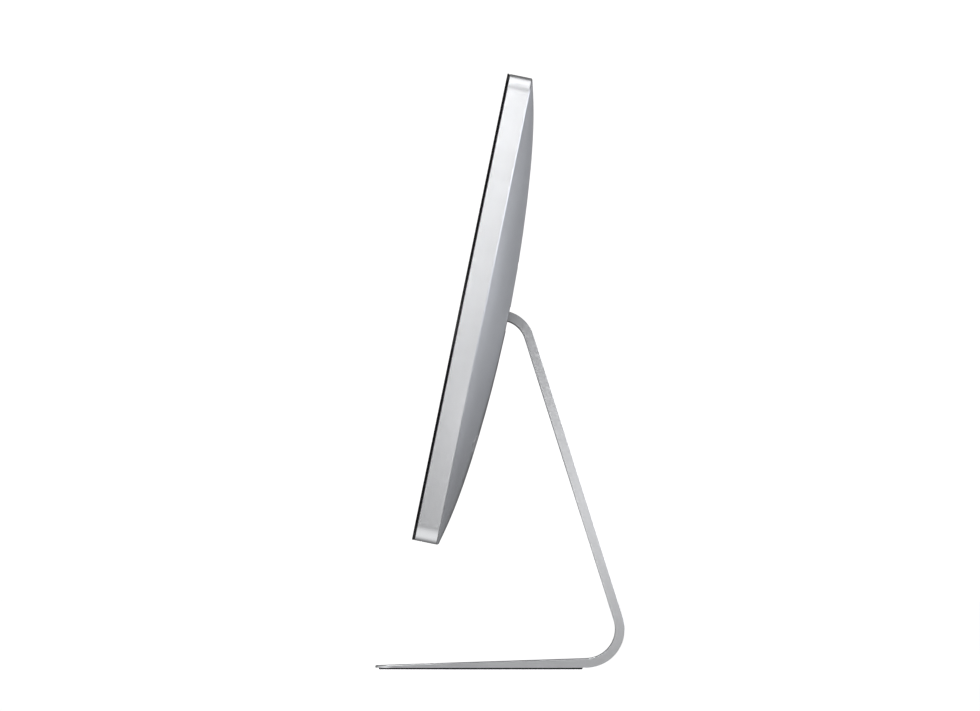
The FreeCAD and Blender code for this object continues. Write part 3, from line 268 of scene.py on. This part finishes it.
def finish_nodes():
    """Every node of the frame gets the finish of its real material."""
    finishes = {
        blasted_aluminium("aluminium_blasted"): ["stand_plate", "rear_housing"],
        blasted_aluminium("aluminium_milled", (0.83, 0.835, 0.84), 0.28): ["memory_door", "power_button"],
        black_rubber("rubber_black"): ["foot_pad", "panel_gasket"],
        brushed_steel("steel_brushed"): [
            "hinge_shaft", "leaf_screws", "bracket_screws", "lock_nuts", "panel_frame", "panel_screws",
            "panel_tray", "blower_screws", "board_screws", "memory_door_screws"],
        brushed_steel("steel_dark", (0.33, 0.33, 0.345), 0.42): [
            "hinge_leaf", "hinge_brackets", "clutch_washers", "counterbalance_springs", "drive_bracket"],
        brushed_steel("steel_plated", (0.74, 0.74, 0.75), 0.22, (300.0, 300.0, 300.0)): [
            "processor", "coin_cell", "storage_drive", "usb_ports", "display_ports", "ethernet_port"],
        brushed_steel("brass_turned", (0.78, 0.60, 0.30), 0.3, (900.0, 60.0, 60.0)): [
            "hinge_bushes", "inlet_pins", "antennas"],
        moulded_plastic("plastic_black", (0.035, 0.035, 0.038)): [
            "slot_shield", "blower_casings", "blower_covers", "speaker_boxes", "power_inlet",
            "audio_jacks", "exhaust_grille", "camera_lens"],
        moulded_plastic("plastic_fan", (0.028, 0.029, 0.032), 0.38): [
            "impeller_left", "impeller_right", "speaker_drivers"],
        moulded_plastic("chip_resin", (0.05, 0.05, 0.055), 0.42, 2200.0, 0.12): [
            "graphics_chip", "board_chips", "board_power_parts", "supply_power_parts", "memory_sockets"],
        drawn_copper("copper_drawn"): ["heat_sinks", "cooling_fins"],
        circuit_board("board_green"): [
            "supply_board", "panel_control_board", "memory_modules", "wireless_card"],
        circuit_board("board_black", (0.012, 0.013, 0.016)): ["main_board", "camera_board", "power_switch"],
        screen_glass("glass_front"): ["front_glass"],
        smooth_layer("cell_dark", (0.022, 0.022, 0.028), 0.12): ["lcd_cell"],
        smooth_layer("sheet_white", (0.82, 0.82, 0.80)): ["optical_sheets", "light_guide", "led_strip"],
    }
    for material, names in finishes.items():
        for name in names:
            paint(name, material)


# ---------------------------------------------------------------- studio

FLOOR_HALF = 40.0
FLOOR_GLOW = 0.88
BACKDROP_LIGHT = 1.1

# Most places in NEAR_LAMPS and two in FAR_LAMPS were chosen by a program that fitted the lamps to
# the photo's tones. The other places were added one by one, and every strength was set
# from the fitted ones, over several renders.

# Lamps close by, square and soft: name, place, what it faces, side, watts, colour.
MIDDLE = (0.25, 0.0, 0.28)
LEG = (0.10, 0.07, 0.14)
WHITE = (1.0, 1.0, 1.0)
COOL = (0.94, 0.97, 1.04)
NEAR_LAMPS = (
    ("right", (1.3, -0.2, 0.45), MIDDLE, 0.35, 0.68, WHITE),
    ("right_upper", (1.3, -0.2, 0.7), MIDDLE, 0.35, 1.26, WHITE),
    ("right_middle", (1.3, -0.3, 1.1), MIDDLE, 0.35, 0.5, WHITE),
    ("right_high", (1.3, -0.4, 1.6), MIDDLE, 0.35, 18.0, WHITE),
    ("right_top", (0.75, -0.1, 1.5), MIDDLE, 0.35, 2.5, WHITE),
    ("right_front", (1.3, -0.8, 0.9), MIDDLE, 0.35, 7.0, WHITE),
    ("top", (0.3, 0.0, 1.3), MIDDLE, 0.6, 1.4, WHITE),
    ("right_back", (0.55, 0.8, 0.3), MIDDLE, 0.35, 0.70, COOL),
    ("back", (0.3, 1.1, 0.4), MIDDLE, 0.45, 0.60, COOL),
    ("left_back", (-0.6, 1.1, 0.4), MIDDLE, 0.45, 2.7, COOL),
    ("left_back_low", (-0.6, 1.1, 0.06), MIDDLE, 0.45, 2.2, COOL),
    ("leg", (0.45, 0.05, 0.16), LEG, 0.15, 0.033, WHITE),
    ("leg_low", (0.45, 0.05, 0.08), LEG, 0.15, 0.024, WHITE),
)

# Lamps far off, round and soft: azimuth from +X towards +Y in degrees, elevation, strength.
# Most are below the horizon. They shine through the floor, which casts no shadow and isn't seen
# in reflections.
FAR_LAMPS = (
    (0.0, -30.0, 0.07),
    (45.0, -30.0, 0.09),
    (90.0, -30.0, 0.09),
    (135.0, -30.0, 0.07),
    (270.0, -60.0, 1.15),
    (315.0, -30.0, 1.75),
    (270.0, 15.0, 0.55),
    (110.0, 40.0, 0.15),
)
LAMP_SHARPNESS = 8.0
ROOM_LIGHT = 0.10


def make_floor():
    corners = [(x * FLOOR_HALF, y * FLOOR_HALF, 0) for x, y in ((-1, -1), (1, -1), (1, 1), (-1, 1))]
    mesh = bpy.data.meshes.new("floor")
    mesh.from_pydata(corners, [], [(0, 1, 2, 3)])
    floor = bpy.data.objects.new("floor", mesh)
    bpy.context.scene.collection.objects.link(floor)
    t = Finish("floor_white")
    t.set(Base_Color=rgb((0.86, 0.86, 0.86)), Roughness=0.9)
    t.set(Emission_Color=rgb(WHITE), Emission_Strength=FLOOR_GLOW)
    mesh.materials.append(t.material)
    floor.visible_glossy = False
    floor.visible_diffuse = False
    floor.visible_shadow = False
    floor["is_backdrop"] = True


def put_facing(holder, place, target):
    """Puts an object into the scene at a place, with its -Z axis towards a target."""
    holder.location = place
    holder.rotation_mode = "QUATERNION"
    holder.rotation_quaternion = (Vector(target) - Vector(place)).to_track_quat("-Z", "Y")
    bpy.context.scene.collection.objects.link(holder)


def make_near_lamps():
    for name, place, target, side, watts, tone in NEAR_LAMPS:
        lamp = bpy.data.lights.new(name, "AREA")
        lamp.size = side
        lamp.energy = watts
        lamp.color = tone
        holder = bpy.data.objects.new(name, lamp)
        holder.visible_camera = False
        put_facing(holder, place, target)


def direction_to(azimuth, elevation):
    turn, rise = math.radians(azimuth), math.radians(elevation)
    return (math.cos(turn) * math.cos(rise), math.sin(turn) * math.cos(rise), math.sin(rise))


def make_surroundings():
    """White where the camera sees it. The object sees a dim even room with the far lamps in it."""
    world = bpy.data.worlds.new("studio")
    bpy.context.scene.world = world
    t = Tree(world)
    t.nodes.clear()
    seen = t.add("ShaderNodeTexCoord").outputs["Generated"]
    direction = t.add("ShaderNodeVectorMath", {0: seen}, operation="NORMALIZE").outputs[0]
    total = ROOM_LIGHT
    for azimuth, elevation, strength in FAR_LAMPS:
        nearness = t.dot(direction, direction_to(azimuth, elevation))
        falloff = t.math("MULTIPLY_ADD", nearness, LAMP_SHARPNESS, -LAMP_SHARPNESS)
        total = t.math("MULTIPLY_ADD", t.math("EXPONENT", falloff), strength, total)
    room = t.add("ShaderNodeBackground", {"Color": rgb(WHITE), "Strength": total}).outputs[0]
    backdrop = t.add("ShaderNodeBackground", {"Color": rgb(WHITE), "Strength": BACKDROP_LIGHT}).outputs[0]
    to_camera = t.add("ShaderNodeLightPath").outputs["Is Camera Ray"]
    choice = t.add("ShaderNodeMixShader", {0: to_camera, 1: room, 2: backdrop}).outputs[0]
    t.add("ShaderNodeOutputWorld", {"Surface": choice})


# ---------------------------------------------------------------- camera

FOCAL_LENGTH_MM = 1250.0
VIEW_WIDTH = 0.80968
NEAREST, FARTHEST = 0.1, 200.0
CAMERA_Y, CAMERA_Z = 0.010, 0.100
AIM_Y, AIM_Z = -0.0081, 0.2603


def make_camera():
    """Looks along -X from far away, so that the object shows almost no perspective.

    The view is VIEW_WIDTH across at the display's right side.
    """
    camera = bpy.data.cameras.new("camera")
    camera.lens = FOCAL_LENGTH_MM
    camera.clip_start, camera.clip_end = NEAREST, FARTHEST
    right_side = CAD_HIGH[0]
    distance = VIEW_WIDTH * FOCAL_LENGTH_MM / camera.sensor_width
    holder = bpy.data.objects.new("camera", camera)
    put_facing(holder, (right_side + distance, CAMERA_Y, CAMERA_Z), (right_side, AIM_Y, AIM_Z))
    bpy.context.scene.camera = holder


finish_nodes()
make_floor()
make_surroundings()
make_near_lamps()
make_camera()
bpy.context.scene.view_settings.view_transform = "Standard"
